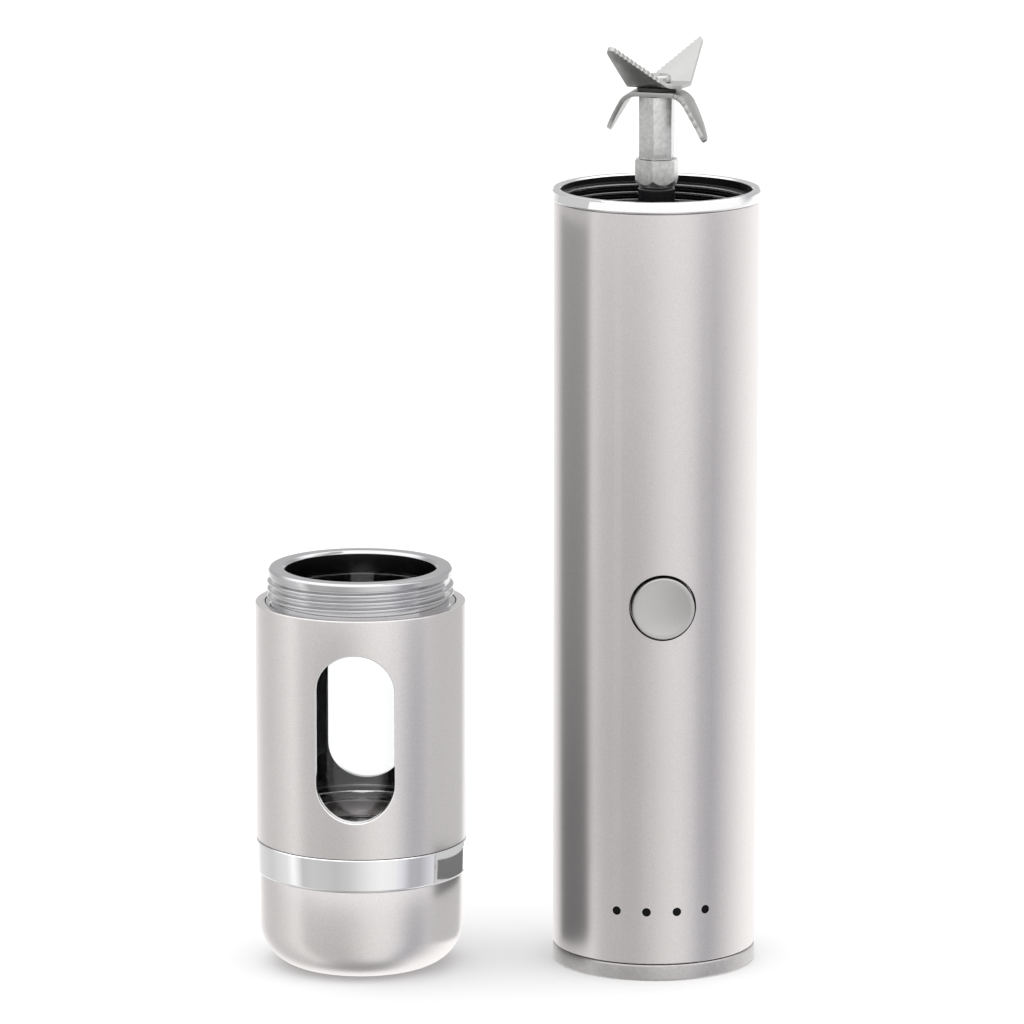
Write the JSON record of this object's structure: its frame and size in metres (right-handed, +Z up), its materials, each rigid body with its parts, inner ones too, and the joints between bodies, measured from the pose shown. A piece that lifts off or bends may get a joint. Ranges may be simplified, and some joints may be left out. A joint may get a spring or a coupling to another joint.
{
  "type": "cordless herb grinder",
  "caption": "Cordless tube-shaped herb and spice grinder: motor body with thumb button, lights and cross blades, beside its screw-on windowed grinding jar.",
  "frame": {"origin": "centre of the motor body's underside, on the surface that both halves stand on", "axes": "+Z up along the motor shaft, -Y the side with the button and the lights, the jar stands at -X"},
  "size_m": [0.0846, 0.0356, 0.1557],
  "materials": {
    "satin_aluminium": "fine bead-blasted, clear satin",
    "button_metal": "satin disc face with a bright turned bevel",
    "chrome_plate": "polished bright plate",
    "steel": "drawn or turned steel, lightly brushed",
    "blade_steel": "stamped sheet with ground toothed edges",
    "magnet": "sintered ferrite, matt",
    "copper": "enamelled copper wire and turned copper",
    "bronze": "oil-filled sintered bronze",
    "carbon": "pressed carbon",
    "black_plastic": "moulded, fine spark-eroded texture",
    "white_plastic": "moulded nylon",
    "rubber": "matt moulded rubber",
    "silicone": "translucent grey silicone",
    "clear_glass": "clear polished tube",
    "circuit_board": "green solder mask",
    "battery_wrap": "shrunk plastic film",
    "red_insulation": "smooth wire insulation",
    "black_insulation": "smooth wire insulation",
    "smoked_lens": "dark smoked polycarbonate"
  },
  "bodies": {
    "housing": {"body_tube": "satin_aluminium", "rim_collar": "chrome_plate", "neck_gasket": "silicone", "blade_well": "black_plastic", "spindle_bush": "black_plastic", "base_cap": "satin_aluminium", "base_screw_left": "steel", "base_screw_right": "steel", "motor_can": "steel", "motor_end_cap": "white_plastic", "field_magnet_left": "magnet", "field_magnet_right": "magnet", "motor_bearing_top": "bronze", "motor_bearing_bottom": "bronze", "motor_screw_left": "steel", "motor_screw_right": "steel", "brush_left": "carbon", "brush_right": "carbon", "motor_terminal_left": "steel", "motor_terminal_right": "steel", "battery_carrier": "black_plastic", "battery_cell": "battery_wrap", "positive_contact": "steel", "negative_contact": "steel", "control_board": "circuit_board", "charge_socket": "steel", "motor_lead_red": "red_insulation", "motor_lead_black": "black_insulation", "switch_body": "black_plastic", "button_seal": "rubber", "light_holder": "black_plastic", "light_pipe_1": "smoked_lens", "light_pipe_2": "smoked_lens", "light_pipe_3": "smoked_lens", "light_pipe_4": "smoked_lens"},
    "rotor": {"motor_shaft": "steel", "armature_core": "steel", "armature_winding": "copper", "commutator": "copper", "spindle_nut": "steel", "hex_spindle": "steel", "lower_blade": "blade_steel", "blade_washer": "rubber", "upper_blade": "blade_steel", "blade_screw": "blade_steel"},
    "button": {"button_cap": "button_metal", "switch_plunger": "white_plastic"},
    "cup": {"base_cup": "satin_aluminium"},
    "seal_carrier": {"cup_seal": "rubber"},
    "chamber": {"window_sleeve": "satin_aluminium", "threaded_neck": "chrome_plate", "glass_tube": "clear_glass", "upper_seal": "rubber", "lower_seal": "rubber", "seat_ring": "steel", "chrome_band": "chrome_plate"}
  },
  "joints": [
    {"name": "rotor_spin", "type": "hinge", "parent": "housing", "child": "rotor", "pos_m": [0, 0, 0.12], "axis": [0, 0, 1], "continuous": true},
    {"name": "button_press", "type": "slide", "parent": "housing", "child": "button", "axis": [0, 1, 0], "range_m": [0, 0.0008], "stiffness_N_per_m": 1200, "springref_m": -0.0004},
    {"name": "jar_lift", "type": "slide", "parent": "housing", "child": "cup", "axis": [0, 0, 1], "range_m": [0, 0.16]},
    {"name": "chamber_rise", "type": "slide", "parent": "cup", "child": "seal_carrier", "axis": [0, 0, 1], "range_m": [0, 0.0051]},
    {"name": "chamber_turn", "type": "hinge", "parent": "seal_carrier", "child": "chamber", "pos_m": [-0.0493, 0, 0.0185], "axis": [0, 0, 1], "range_deg": [0, 1440]}
  ],
  "couplings": [
    {"joint": "chamber_rise", "follows": "chamber_turn", "m_per_rad": 0.00019894}
  ]
}
